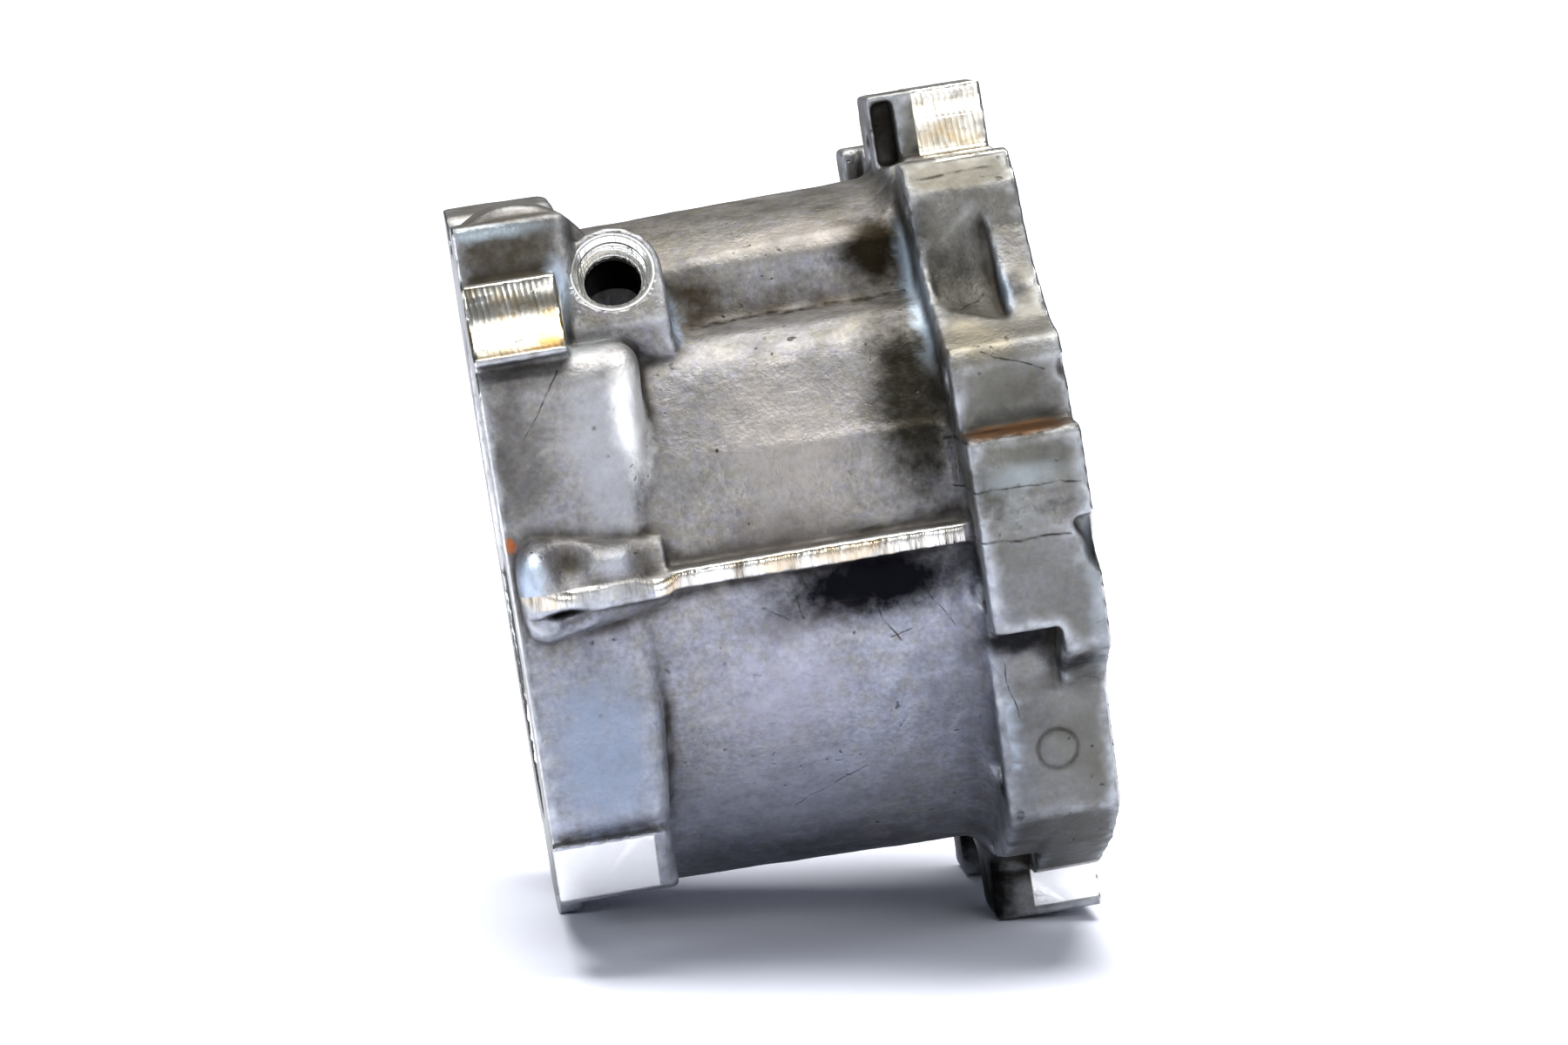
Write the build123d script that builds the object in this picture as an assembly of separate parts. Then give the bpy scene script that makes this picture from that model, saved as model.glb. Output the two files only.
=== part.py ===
from build123d import *
from math import atan, cos, degrees, radians, sin
import os

os.makedirs("parts", exist_ok=True)

# Sizes in mm. X runs along the main bore, from the small joint face at 0 to the large one.
LENGTH = 136.0
FLANGE_DEPTH = 27.0
FLANGE_BACK = LENGTH - FLANGE_DEPTH
EAR_SET_BACK = 2.0
FAR_EAR_SET_BACK = 5.0
BARREL_R_SMALL = 82.0
BARREL_R_LARGE = 84.0
FLARE = 4.4
WALL = 6.0
CAVITY_START = 20.0
STEP_Y = 42.0
SHOULDER_DROP = 24.5
SHOULDER_Z = BARREL_R_SMALL - SHOULDER_DROP
SIDE_Y = 83.0
COLLAR_TOP = SHOULDER_Z + 1.0
COLLAR_DEPTH = 34.0
FOOT_Z = -106.7
SMALL_FOOT_Z = -89.8
BOLT_CIRCLE_R = 90.0
BOLT_COUNT = 11
BOLT_R = 4.2
RECESS_R = 62.0
RECESS = 12.0
HUB_R = 38.0
HUB_END = 38.0
SEAT_R = 31.0
SEAT_DEPTH = 16.0
LIP_R = 27.0
TAP_M8_R = 3.4
TAP_Y = 64.0
TAP_DEPTH = 20.0
PORT_THREAD_R = 8.2
PORT_THREAD_DEPTH = 5.6
PORT_HOLE_R = 6.9
PORT_ELEVATION = 28.0
RIDGE_PROUD = 6.5
RIDGE_Y = BARREL_R_LARGE + RIDGE_PROUD


def rounded(corners):
    """A closed face from (y, z, radius) corners, each corner an arc or left sharp."""
    face = make_face(Polyline(*[(c[0], c[1]) for c in corners], close=True))
    for y, z, radius in corners:
        if radius > 0:
            corner = face.vertices().sort_by_distance((y, z, 0))[0]
            face = fillet(corner, radius)
    return face


def slab(corners, start, end):
    """A prism along X over an outline in Y and Z."""
    return extrude(Plane.YZ.offset(start) * rounded(corners), end - start)


def rod(y, z, radius, start, end):
    """A round bar or hole along X."""
    return Plane.YZ.offset(start) * Pos(y, z, 0) * extrude(Circle(radius), end - start)


def both(shape):
    """A shape and its mirror image on the far side."""
    return shape + mirror(shape, Plane.XZ)


def turned(profile):
    """A body turned about the main bore from a profile in X and Z."""
    return revolve(Plane.XZ * profile, Axis.X)


# Barrel, drafted, with a flare into the large flange.
side = Polyline(
    (0, 0), (0, BARREL_R_SMALL), (FLANGE_BACK - 5, BARREL_R_LARGE),
    (FLANGE_BACK - 2, BARREL_R_LARGE + FLARE / 3), (FLANGE_BACK, BARREL_R_LARGE + FLARE),
    (FLANGE_BACK + 2, BARREL_R_LARGE + FLARE), (FLANGE_BACK + 2, 0), close=True,
)
barrel = turned(make_face(side))

# Both upper corners of the barrel step in to a steep wall above a shoulder.
step_out = [
    (STEP_Y - 10, 110, 0), (STEP_Y - 10, BARREL_R_SMALL - 1, 0), (STEP_Y, BARREL_R_SMALL - 11.5, 6),
    (STEP_Y, SHOULDER_Z + 8.5, 0), (STEP_Y + 3, SHOULDER_Z, 4), (STEP_Y + 15.5, SHOULDER_Z - 2.5, 12),
    (STEP_Y + 23.6, SHOULDER_Z - 7.5, 20), (STEP_Y + 35.5, SHOULDER_Z - 28, 0), (110, 5, 0), (110, 110, 0),
]
barrel -= both(slab(step_out, -1, FLANGE_BACK))

# Squarish collar behind the small joint face, its back edge rounded into the barrel.
square = [(-SIDE_Y, COLLAR_TOP, 10), (-SIDE_Y, -58, 10), (SIDE_Y, -58, 10), (SIDE_Y, COLLAR_TOP, 10)]
collar = slab(square, 0, COLLAR_DEPTH + 12)
collar -= Pos(COLLAR_DEPTH, 0, 0) * Rot(0, 5, 0) * Pos(50, 0, 0) * Box(100, 400, 400)
collar = fillet(collar.faces().sort_by(Axis.X)[-1].edges(), 6)
body = barrel + collar

# Upper ears of the small flange, a milled hollow below each, the near one with a domed top.
ear = slab([(-20, 74, 0), (-26, 89.5, 6), (-57.5, 90.5, 2.5), (-60, 57, 0), (-40, 50, 0)], 0, 28)
ear = fillet(ear.edges().filter_by(lambda e: e.center().X > 27.9 and e.center().Z > 70), 3)
dome = ThreePointArc((2, 88.6), (19, 92.6), (32, 83)) + Polyline((32, 83), (32, 70), (2, 70), (2, 88.6))
dome = make_face(dome)
dome = extrude(Plane.XZ.offset(18) * dome, 30)
dome = chamfer(dome.edges().filter_by(GeomType.CIRCLE), 2.5)
pad = slab([(-58, 76.5, 0), (1 - SIDE_Y, 76.5, 0), (-SIDE_Y, COLLAR_TOP, 0), (-58, 57, 0)], 0, 22.5)
pad -= rod(-83.5, 77.8, 17.5, -1, 23)
body += both(ear + pad) + dome

# Lower corner lugs of the small flange, rounded to the rear, and the foot it rests on.
lug = slab([(-60, -56, 0), (-SIDE_Y, -56.5, 0), (-71.6, -71.8, 0), (-58, -75, 0)], 0, 29)
lug = fillet(lug.edges().filter_by(lambda e: e.center().X > 28.9 and e.center().Y < -75), 5)
body += both(lug)
foot = slab([(8, -70, 0), (8, SMALL_FOOT_Z, 0), (40, SMALL_FOOT_Z, 0), (44, -70, 0)], 0, 6.8)
body += foot

# Boss at mid height, tapering to the rear, with the flash trimmed off across its front.
boss = make_face(Polyline((2, 0), (2, 8.5), (3.4, 11.4), (6.5, 13), (37, 8), (37, 0), close=True))
boss = Pos(0, 2 - SIDE_Y, 4.5) * turned(boss)
boss -= Pos(20, -RIDGE_Y - 5.5, -10) * Box(60, 14, 18)
boss -= Pos(14, -90, -4) * Sphere(4.5)
trim = Polyline(
    (3.5, 10.5 - RIDGE_Y), (3.5, -RIDGE_Y - 1.5), (8, -RIDGE_Y - 4.1), (22, -RIDGE_Y - 3.5), (37, -RIDGE_Y),
    (37, 10.5 - RIDGE_Y), close=True,
)
trim = make_face(trim)
trim = Pos(0, 0, -1) * extrude(trim, 5.4)
body += both(boss + trim)

# Ridge left by the trimmed flash along the parting line.
ridge = Pos((FLANGE_BACK + 35) / 2, -RIDGE_Y + 6, 2.7) * Box(FLANGE_BACK - 31, 12, 4.8)
body += both(ridge)

# Large flange: near outline with its bosses, the far side the same apart from its ears.
near = [
    (-12, 104.3, 1), (-12, 88, 0), (-46, 88.3, 4), (-55, 80.5, 3), (-57.5, 71, 6), (-64.5, 60.8, 8),
    (-78.5, 49.3, 10), (-90, 45.5, 3), (-92.5, 41, 3), (-92.5, 26, 1.5), (-103.8, 25.3, 2.5),
    (-104.6, 2, 40), (-102.8, -27, 3), (-90.5, -33.5, 3), (-83, -39, 8), (-80, -56, 20), (-77.2, -69.5, 4),
    (-54, -81.8, 30), (-20, -94.2, 3), (-12, -94.2, 0), (-12, FOOT_Z, 1),
]
far = [
    (12, FOOT_Z, 1), (12, -93, 3), (48, -86, 3), (52, FOOT_Z, 1), (72, FOOT_Z, 1), (75, -72, 3), (80, -56, 20),
    (83, -39, 8), (90.5, -33.5, 3), (102.8, -27, 3), (104.6, 2, 40), (103.8, 25.3, 2.5), (92.5, 26, 1.5),
    (92.5, 41, 3), (90, 45.5, 3), (78.5, 49.3, 10), (64.5, 60.8, 8), (58.5, 72, 6), (58, 90, 3), (42, 90, 3),
    (38, 87, 3), (16, 88, 4), (12, 104.3, 1),
]
flange = slab(near + far, FLANGE_BACK, LENGTH)

# Behind its rim the flange is hollowed: a tapered scoop, a step below the wide boss, a cut-back foot.
scoop = Cone(14.5, 21, FLANGE_DEPTH - 5, align=(Align.CENTER, Align.CENTER, Align.MIN))
flange -= both(Plane.YZ.offset(FLANGE_BACK - 4) * Pos(-76, 70, 0) * scoop)
under_boss = [
    (-115, -20.5, 0), (-89, -21.5, 2), (-84.5, -27, 4), (-82.5, -38, 6), (-86, -46, 0), (-115, -46, 0),
]
flange -= both(slab(under_boss, FLANGE_BACK - 1, LENGTH - 11))
foot_back = [(-14, -115, 0), (-14, -89, 2), (-46, -84, 10), (-62, -77.5, 0), (-90, -77.5, 0), (-90, -115, 0)]
flange -= slab(foot_back, FLANGE_BACK - 9, FLANGE_BACK + 10)
body += flange

# Two ears of the large flange stand further back than its rim.
top_ear = [(-12, 104.3, 1), (-12, 80, 0), (12, 80, 0), (12, 104.3, 1)]
body += slab(top_ear, FLANGE_BACK - EAR_SET_BACK, FLANGE_BACK)
far_ear = [(42, 90, 3), (42, 76, 0), (58, 70, 0), (58, 90, 3)]
body += slab(far_ear, FLANGE_BACK - FAR_EAR_SET_BACK, FLANGE_BACK)

# Threaded port boss, standing off the steep wall at the near side.
port = Pos(36.3, -59, SHOULDER_Z + 16.8) * Rot(-(90 + PORT_ELEVATION), 0, 0)
port_boss = port * (extrude(Circle(12), 30) + Pos(0, 13, 15) * Box(24, 26, 30))
under_port = [
    (-65.5, SHOULDER_Z + 4.5, 0), (-120, SHOULDER_Z + 4.5, 0), (-120, SHOULDER_Z - 17.5, 0),
    (-57, SHOULDER_Z - 17.5, 0), (-62, SHOULDER_Z - 5, 0),
]
port_boss -= slab(under_port, 10, 60)
body += port_boss & Pos(36, -45, SHOULDER_Z + 14.5) * Box(60, 60, 42)

# Main cavity, open at the large joint face, with the corner steps of the barrel followed inside.
inside = Polyline(
    (CAVITY_START, 0), (CAVITY_START, BARREL_R_SMALL - WALL - 6), (CAVITY_START + 5.5, BARREL_R_SMALL - WALL),
    (LENGTH - 3, BARREL_R_LARGE - WALL), (LENGTH + 1, BARREL_R_LARGE - WALL), (LENGTH + 1, 0), close=True,
)
cavity = turned(make_face(inside))
step_in = [
    (STEP_Y - WALL, 110, 0), (STEP_Y - WALL, SHOULDER_Z + 2.5, 0), (STEP_Y + 3 - WALL, SHOULDER_Z - WALL, 5),
    (STEP_Y + 24, SHOULDER_Z - 4.5 - WALL, 0), (110, SHOULDER_Z - 4.5 - WALL, 0), (110, 110, 0),
]
cavity -= both(slab(step_in, CAVITY_START, FLANGE_BACK + 4))
body -= cavity

# Small end: open recess, end wall, a ribbed hub inside with the bearing seat and its lip.
body += rod(0, 0, HUB_R, RECESS, HUB_END)
for i in range(6):
    rib = Box(HUB_END - RECESS - 6, 5, BARREL_R_SMALL - WALL - HUB_R + 7)
    body += Rot(60 * i + 30, 0, 0) * Pos((RECESS + HUB_END) / 2, 0, (HUB_R + BARREL_R_SMALL - WALL) / 2) * rib
body -= rod(0, 0, RECESS_R, -1, RECESS)
body -= rod(0, 0, LIP_R, 0, 60)
body -= rod(0, 0, SEAT_R, HUB_END - SEAT_DEPTH, 60)
pocket_y = SIDE_Y - 4
body -= both(slab([(-pocket_y, 50, 5), (-pocket_y, 34, 5), (-67, 34, 4), (-67, 50, 4)], -1, 16))

# Threaded port, drilled through into the cavity.
body -= port * extrude(Circle(PORT_HOLE_R), 34)
body -= port * extrude(Circle(PORT_THREAD_R), PORT_THREAD_DEPTH)
mouth = Cone(PORT_THREAD_R + 1.15, PORT_THREAD_R, 1, align=(Align.CENTER, Align.CENTER, Align.MIN))
body -= port * Pos(0, 0, -0.01) * mouth

# Bolt holes of the large flange.
for i in range(BOLT_COUNT):
    angle = radians(90 + i * 360 / BOLT_COUNT)
    y = BOLT_CIRCLE_R * cos(angle)
    z = BOLT_CIRCLE_R * sin(angle)
    body -= rod(y, z, BOLT_R, FLANGE_BACK - 9, LENGTH + 1)

# Tapped holes of the small joint face.
for y in (-TAP_Y, TAP_Y):
    for z in (-TAP_Y, TAP_Y):
        body -= rod(y, z, TAP_M8_R, -1, TAP_DEPTH)

# Milled hollow in the near top ear and the pocket beside it.
body -= rod(-28.5, 101.5, 17, FLANGE_BACK - EAR_SET_BACK - 1, LENGTH + 1)
body -= Pos(FLANGE_BACK + 1.8, -12, 94.5) * Box(5.4, 14, 16)

# Damage on the rim of the large flange: a nick, and a chip broken out of the wide boss.
body -= rod(-93, 38, 2.8, LENGTH - 1.6, LENGTH + 1)
chip = make_face(Polyline((-5.5, 3.5), (4, 5), (4, -12), (-0.6, -9), (-1.4, -3), (-4.2, 0.5), close=True))
body -= extrude(Plane.XZ.offset(101.5) * Pos(LENGTH, 0, 0) * chip, 8)

# The part lies on three feet, so the bore leans by the drop between them.
tilt = degrees(atan((SMALL_FOOT_Z - FOOT_Z) / FLANGE_BACK))
body = Rot(0, -tilt, 0) * body
box = body.bounding_box()
body = Pos(-box.center().X, -box.center().Y, -box.min.Z) * body

export_step(body, "parts/gearbox_housing.step")
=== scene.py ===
import math

import bpy
import numpy as np
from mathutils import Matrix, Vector, noise
from mathutils.kdtree import KDTree


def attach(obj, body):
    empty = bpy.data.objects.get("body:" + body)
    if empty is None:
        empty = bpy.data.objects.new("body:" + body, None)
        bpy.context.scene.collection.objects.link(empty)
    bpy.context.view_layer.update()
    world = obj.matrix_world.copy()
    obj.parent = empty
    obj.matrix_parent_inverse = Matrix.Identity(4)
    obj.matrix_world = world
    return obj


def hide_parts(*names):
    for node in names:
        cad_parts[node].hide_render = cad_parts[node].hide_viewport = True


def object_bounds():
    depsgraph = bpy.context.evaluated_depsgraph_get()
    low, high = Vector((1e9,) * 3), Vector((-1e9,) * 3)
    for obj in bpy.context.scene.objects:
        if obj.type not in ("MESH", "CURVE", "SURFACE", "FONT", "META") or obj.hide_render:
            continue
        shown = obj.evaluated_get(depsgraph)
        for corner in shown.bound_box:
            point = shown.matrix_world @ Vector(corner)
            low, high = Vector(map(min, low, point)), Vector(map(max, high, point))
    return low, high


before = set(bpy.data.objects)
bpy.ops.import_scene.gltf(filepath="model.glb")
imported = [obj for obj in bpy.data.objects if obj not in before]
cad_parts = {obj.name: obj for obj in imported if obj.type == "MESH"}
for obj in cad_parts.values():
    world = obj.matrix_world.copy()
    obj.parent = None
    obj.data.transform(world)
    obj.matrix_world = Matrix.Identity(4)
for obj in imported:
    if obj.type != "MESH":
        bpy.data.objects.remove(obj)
cad_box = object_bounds()

# The camera stands over a metre away with a long lens, a little to the left of the part
# and a little above it.
camera_data = bpy.data.cameras.new("camera")
camera_data.lens = 110
camera_data.sensor_width = 36
camera_data.clip_start = 0.05
camera_data.clip_end = 60
camera = bpy.data.objects.new("camera", camera_data)
camera.location = (-0.1026, -1.198893, 0.227591)
camera.rotation_euler = (math.radians(84), 0, math.radians(-5))
bpy.context.scene.collection.objects.link(camera)
bpy.context.scene.camera = camera

# The floor is a sheet of white board that fills the view. It is lit until only the shadow
# right under the part is left on it.
bpy.ops.object.select_all(action="DESELECT")
bpy.ops.mesh.primitive_plane_add(size=30, location=(0, 5, 0))
floor = bpy.context.object
floor.name = "floor"
white_board = bpy.data.materials.new("white_board")
white_board.use_nodes = True
board_shader = white_board.node_tree.nodes["Principled BSDF"]
board_shader.inputs["Base Color"].default_value = (0.84, 0.865, 0.96, 1)
board_shader.inputs["Roughness"].default_value = 0.9
board_shader.inputs["Specular IOR Level"].default_value = 0.1
floor.data.materials.append(white_board)

# A very broad light overhead does most of the work, with a weaker softbox on each side of
# the camera. The room beyond is white to the eye but gives little light.
sky_lamp = bpy.data.lights.new("overhead", "SUN")
sky_lamp.energy = 5.8
sky_lamp.angle = math.radians(54)
sky_lamp.color = (1.0, 0.985, 0.965)
overhead = bpy.data.objects.new("overhead", sky_lamp)
overhead.rotation_euler = (math.radians(-6), math.radians(-1), 0)
bpy.context.scene.collection.objects.link(overhead)


def softbox(name, place, aim, width, height, watts, color):
    lamp = bpy.data.lights.new(name, "AREA")
    lamp.shape = "RECTANGLE"
    lamp.size = width
    lamp.size_y = height
    lamp.energy = watts
    lamp.color = color
    box = bpy.data.objects.new(name, lamp)
    box.location = place
    box.rotation_euler = (Vector(aim) - Vector(place)).to_track_quat("-Z", "Y").to_euler()
    bpy.context.scene.collection.objects.link(box)


softbox("left", (-1.1, -0.75, 0.45), (0, 0, 0.1), 0.4, 0.9, 5, (0.9, 0.96, 1.0))
softbox("front", (0.45, -1.5, 0.75), (0, 0, 0.1), 0.9, 0.5, 9, (1.0, 0.99, 0.97))

room = bpy.data.worlds.new("room")
bpy.context.scene.world = room
room.use_nodes = True
room_nodes = room.node_tree.nodes
room_links = room.node_tree.links
room_nodes.clear()
seen = room_nodes.new("ShaderNodeBackground")
seen.inputs["Color"].default_value = (1, 1, 1, 1)
seen.inputs["Strength"].default_value = 1.1
felt = room_nodes.new("ShaderNodeBackground")
felt.inputs["Color"].default_value = (0.84, 0.91, 1.0, 1)
felt.inputs["Strength"].default_value = 0.17
rays = room_nodes.new("ShaderNodeLightPath")
choose = room_nodes.new("ShaderNodeMixShader")
room_out = room_nodes.new("ShaderNodeOutputWorld")
room_links.new(rays.outputs["Is Camera Ray"], choose.inputs["Fac"])
room_links.new(felt.outputs["Background"], choose.inputs[1])
room_links.new(seen.outputs["Background"], choose.inputs[2])
room_links.new(choose.outputs["Shader"], room_out.inputs["Surface"])
bpy.context.scene.view_settings.view_transform = "Standard"

# The housing is one aluminium casting, lifted hot from its mould: its corners are soft and
# its skin uneven. A cutter has since gone over the joint faces, pads, bores and holes.
SAME_POINT = 0.00001
SKIN_VOXEL = 0.0007
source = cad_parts["gearbox_housing"]
housing = bpy.data.objects.new("housing", source.data.copy())
bpy.context.scene.collection.objects.link(housing)
bpy.ops.object.select_all(action="DESELECT")
housing.select_set(True)
bpy.context.view_layer.objects.active = housing
bpy.ops.object.mode_set(mode="EDIT")
bpy.ops.mesh.select_all(action="SELECT")
bpy.ops.mesh.remove_doubles(threshold=SAME_POINT)
bpy.ops.object.mode_set(mode="OBJECT")
remesh = housing.modifiers.new("skin", "REMESH")
remesh.mode = "VOXEL"
remesh.voxel_size = SKIN_VOXEL
remesh.use_smooth_shade = True
bpy.ops.object.modifier_apply(modifier=remesh.name)

# It leans back on its feet, so its own axes are turned against the floor: x runs from the
# small joint face to the large one, z is up across the bore, and both are in millimetres.
LEAN = math.radians(8.8133)
FOOT_OF_AXIS = np.array((-0.06844388, 0, 0.08873972))
ALONG = np.array((math.cos(LEAN), 0, math.sin(LEAN)))
ACROSS = np.array((0, 1.0, 0))
UPRIGHT = np.array((-math.sin(LEAN), 0, math.cos(LEAN)))
AXES = np.array((ALONG, ACROSS, UPRIGHT))


def own_points(piece):
    flat = np.empty(len(piece.data.vertices) * 3)
    piece.data.vertices.foreach_get("co", flat)
    return (flat.reshape(-1, 3) - FOOT_OF_AXIS) @ AXES.T * 1000


def set_points(piece, points):
    flat = points / 1000 @ AXES + FOOT_OF_AXIS
    piece.data.vertices.foreach_set("co", flat.ravel())
    piece.data.update()


def nearness(points, centre, reach):
    away = np.linalg.norm((points - centre) / reach, axis=1)
    return np.clip(1 - away ** 2, 0, 1) ** 2


def inside(points, low, high, fade):
    depth = np.minimum(points - low, high - points).min(axis=1)
    return np.clip(depth / fade + 1, 0, 1)


def weigh(piece, name, weights):
    group = piece.vertex_groups.new(name=name)
    tenths = np.round(weights * 10).astype(int)
    for tenth in range(1, 11):
        group.add(np.nonzero(tenths == tenth)[0].tolist(), tenth / 10, "REPLACE")


def soften(piece, name, weights, rounds):
    weigh(piece, name, weights)
    smooth = piece.modifiers.new(name, "SMOOTH")
    smooth.vertex_group = name
    smooth.factor = 0.5
    smooth.iterations = rounds
    bpy.ops.object.modifier_apply(modifier=smooth.name)


PORT_TILT = math.radians(28)
PORT_MOUTH = np.array((36.3, -59.0, 74.3))
PORT_OUT = np.array((0, -math.cos(PORT_TILT), math.sin(PORT_TILT)))


def about_port(points):
    from_mouth = points - PORT_MOUTH
    depth = -from_mouth @ PORT_OUT
    across = from_mouth + depth[:, None] * PORT_OUT
    return depth, across, np.linalg.norm(across, axis=1)


points = own_points(housing)
x, y, z = points.T
radius = np.hypot(y, z)
port_depth, across_port, port_radius = about_port(points)

# The cutter's work keeps its edges: both joint faces, the pads, the bores and the holes.
machined = np.maximum.reduce([
    np.clip((1.6 - x) / 0.8, 0, 1),
    np.clip((x - 134.4) / 0.8, 0, 1),
    inside(points, (-1, -84, 59.5), (23.2, -60, 77), 0.6),
    inside(points, (-1, 60, 59.5), (23.2, 84, 77), 0.6),
    inside(points, (-1, -84, -71.5), (24.6, -69, -57), 0.6),
    inside(points, (118.2, -47, 87.5), (137, 47, 107), 0.6),
    inside(points, (118.6, -32, -108), (137, 32, -92.5), 0.6),
    ((port_radius < 10.4) & (port_depth > -2)).astype(float),
    ((radius < 40) & (x < 40)).astype(float),
    ((radius < 64) & (x < 14)).astype(float),
    ((radius < 80) & (x > 131)).astype(float),
])
cast_skin = 1 - machined
soften(housing, "skin_steps", np.full(len(points), 1.0), 3)
soften(housing, "cast_corners", cast_skin, 14)

# The end of the collar sweeps down to the barrel in one long curve on each side, and so do
# the foot of the port's boss and the roots of the lugs.
points = own_points(housing)
mirrored = points * (1, -1, 1)
sweep = np.zeros(len(points))
for side in (points, mirrored):
    sweep = np.maximum.reduce([
        sweep,
        nearness(side, (34, -81, 40), (11, 16, 27)) * 1.6,
        nearness(side, (33, -75, -58), (9, 18, 22)) * 1.3,
    ])
sweep = np.maximum(sweep, nearness(points, (50, -52, 60), (8, 14, 13)) * 1.4)
sweep = np.maximum(sweep, nearness(points, (22.5, -56, 66), (6, 12, 12)))
soften(housing, "long_sweeps", np.clip(sweep, 0, 1) * cast_skin, 160)

# The boss at mid height is lumpy: a rounded nose, a dip, a second hump and a slit below.
# The pin that pushed the casting out of its mould has left a ring low on the flange.
PIN_X, PIN_Z = 122.5, -53.2
PIN_RADIUS = 4.8
RING_WIDTH = 0.75
RING_HEIGHT = 0.55
points = own_points(housing)
for centre, reach, move in (
    ((4.5, -92, 10), (8, 9, 11), (-0.7, -1.6, 0.5)),
    ((14.5, -92, 13), (7, 9, 9), (0, 2.6, -1.6)),
    ((25, -92, 10), (8, 9, 9), (0, -1.2, 0.8)),
    ((34, -90, 9), (7, 9, 9), (0, 2.0, -1.4)),
    ((12, -92, -1.0), (6.5, 9, 2.0), (0, 4.6, 0.4)),
    ((21, -92, -12), (12, 9, 5), (0, 1.6, 0)),
    ((6, -92, -10), (6, 9, 6), (0, -0.8, -0.4)),
    ((112, -88, -8), (6, 9, 12), (0, 0.8, 0)),
    ((118, -104, 17), (10, 5, 6), (0, -0.6, 0)),
    ((128, -104, 7), (9, 5, 5), (0, 0.6, 0)),
    ((135, -101, -3), (3, 8, 7), (-0.4, 2.2, 0)),
):
    points += nearness(points, centre, reach)[:, None] * np.array(move)
from_pin = np.hypot(points[:, 0] - PIN_X, points[:, 2] - PIN_Z)
pin_ring = np.exp(-((from_pin - PIN_RADIUS) / RING_WIDTH) ** 2)
points[:, 1] += RING_HEIGHT * pin_ring * (points[:, 1] < -60)
set_points(housing, points)

# No cast face is flat: the mould leaves slow waves, and where the metal ran in and was cut
# off the face is rough.
GATE = (120, -105, 7.5)


def rumple(piece, name, group, size, layers, level, strength):
    clouds = bpy.data.textures.new(name, "CLOUDS")
    clouds.noise_scale = size
    clouds.noise_depth = layers
    lift = piece.modifiers.new(name, "DISPLACE")
    lift.texture = clouds
    lift.texture_coords = "LOCAL"
    lift.vertex_group = group
    lift.mid_level = level
    lift.strength = strength
    bpy.ops.object.modifier_apply(modifier=lift.name)


weigh(housing, "waves", cast_skin)
rumple(housing, "slow_waves", "waves", 0.017, 1, 0.5, 0.00055)
rumple(housing, "skin_lumps", "waves", 0.005, 1, 0.5, 0.00022)
gate_near = nearness(points, GATE, (16, 6, 7)) * 1.5
weigh(housing, "rough_cut", np.clip(gate_near, 0, 1))
rumple(housing, "torn", "rough_cut", 0.0025, 3, 0.62, 0.0016)

# Corners and creases take dirt and painted shade, and proud edges are rubbed bright and
# take a painted highlight. How hollow or how proud each point is comes from how far it
# moves when the whole skin is smoothed.
dense = own_points(housing)
normals = np.empty(len(dense) * 3)
housing.data.vertices.foreach_get("normal", normals)
normals = normals.reshape(-1, 3) @ AXES.T
melted = bpy.data.objects.new("melted", housing.data.copy())
bpy.context.scene.collection.objects.link(melted)
bpy.context.view_layer.objects.active = melted
melt = melted.modifiers.new("melt", "SMOOTH")
melt.factor = 0.5
melt.iterations = 90
bpy.ops.object.modifier_apply(modifier=melt.name)
hollow = ((own_points(melted) - dense) * normals).sum(axis=1)
bpy.data.objects.remove(melted)
bpy.context.view_layer.objects.active = housing

# The wall of the port is opened out, so that its thread can be cut into it.
OPENED_RADIUS = 9.7
port_depth, across_port, port_radius = about_port(dense)
in_wall = (port_radius > 4) & (port_radius < 9.6) & (port_depth > -0.5) & (port_depth < 6.2)
outwards = across_port[in_wall] / port_radius[in_wall, None]
opened = dense.copy()
opened[in_wall] += outwards * np.clip(OPENED_RADIUS - port_radius[in_wall], 0, 1.7)[:, None]
set_points(housing, opened)

# The skin is thinned to what one piece may hold. Each point left takes its values from the
# nearest point of the dense skin.
TRIANGLES_LEFT = 186000
thin = housing.modifiers.new("thin", "DECIMATE")
thin.ratio = TRIANGLES_LEFT / (2 * len(housing.data.polygons))
bpy.ops.object.modifier_apply(modifier=thin.name)
dense_points = KDTree(len(opened))
for index, spot in enumerate(opened.tolist()):
    dense_points.insert(spot, index)
dense_points.balance()
nearest = [dense_points.find(spot)[1] for spot in own_points(housing).tolist()]
hollow_layer = housing.data.attributes.new("hollow", "FLOAT", "POINT")
hollow_layer.data.foreach_set("value", hollow[nearest])

# Oil and burnt dirt have coloured the skin in places, and patches of painted shade and
# painted highlight lie on it where the light falls. Each patch is laid over those before it
# and kept on the mesh as a colour and how far it covers the bare metal.
# The seed gives their edges the same course in every run.
PATCH_SEED = 5
noise.seed_set(PATCH_SEED)
spots = own_points(housing)
drifts = np.array([noise.noise_vector(Vector(spot) * 0.16) for spot in spots])
stains_and_painted_light = np.zeros((len(spots), 4))
SOFT_EDGE, CRISP_EDGE = 0.7, 0.6
FAR_DRIFT, NEAR_DRIFT = 3.0, 0.8


def lay_stain_or_painted_light(centre, reach, tint, amount, fade, drift):
    away = np.linalg.norm((spots + drifts * drift - centre) / reach, axis=1)
    cover = np.clip((1 - away) / fade, 0, 1)
    cover = (cover * cover * (3 - 2 * cover) * amount)[:, None]
    stains_and_painted_light[:] = stains_and_painted_light * (1 - cover) + cover * (*tint, 1)
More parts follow.
